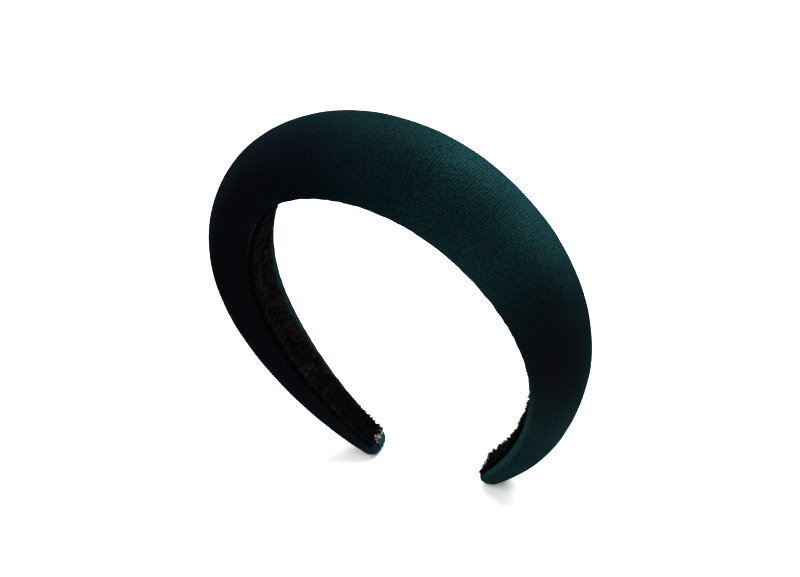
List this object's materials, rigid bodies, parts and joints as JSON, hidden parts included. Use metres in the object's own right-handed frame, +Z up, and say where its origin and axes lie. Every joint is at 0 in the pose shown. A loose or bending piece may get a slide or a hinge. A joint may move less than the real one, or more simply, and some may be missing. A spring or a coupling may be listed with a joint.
{
  "type": "padded headband",
  "caption": "Padded velvet headband: a wide domed crown narrowing to two blunt tips, with a pile ribbon lining on the head side and a sprung core that opens to go over the head.",
  "frame": {"origin": "on the floor, midway between the two tips, at the middle of the band's width", "axes": "+Z up through the crown; X in the plane of the hoop, from the left arm to the right arm; +Y across the band, towards the back of the head"},
  "size_m": [0.155, 0.0406, 0.1722],
  "materials": {
    "velvet": "matte",
    "pile_ribbon": "matte",
    "foam": "matte",
    "core_plastic": "satin",
    "tape": "satin",
    "glue": "satin"
  },
  "bodies": {
    "left_half": {"velvet_cover_left": "velvet", "core_band_left": "core_plastic", "foam_pad_left": "foam", "foam_tape_left": "tape", "hem_glue_front_left": "glue", "hem_glue_rear_left": "glue", "ribbon_glue_left": "glue", "lining_ribbon_left": "pile_ribbon", "ribbon_end_bead_left": "glue"},
    "right_half": {"velvet_cover_right": "velvet", "core_band_right": "core_plastic", "foam_pad_right": "foam", "foam_tape_right": "tape", "hem_glue_front_right": "glue", "hem_glue_rear_right": "glue", "ribbon_glue_right": "glue", "lining_ribbon_right": "pile_ribbon", "ribbon_end_bead_right": "glue"}
  },
  "joints": [
    {"name": "spread", "type": "hinge", "parent": "left_half", "child": "right_half", "pos_m": [0, 0, 0.17222], "axis": [0, -1, 0], "range_deg": [0, 24], "stiffness_Nm_per_rad": 0.32}
  ]
}
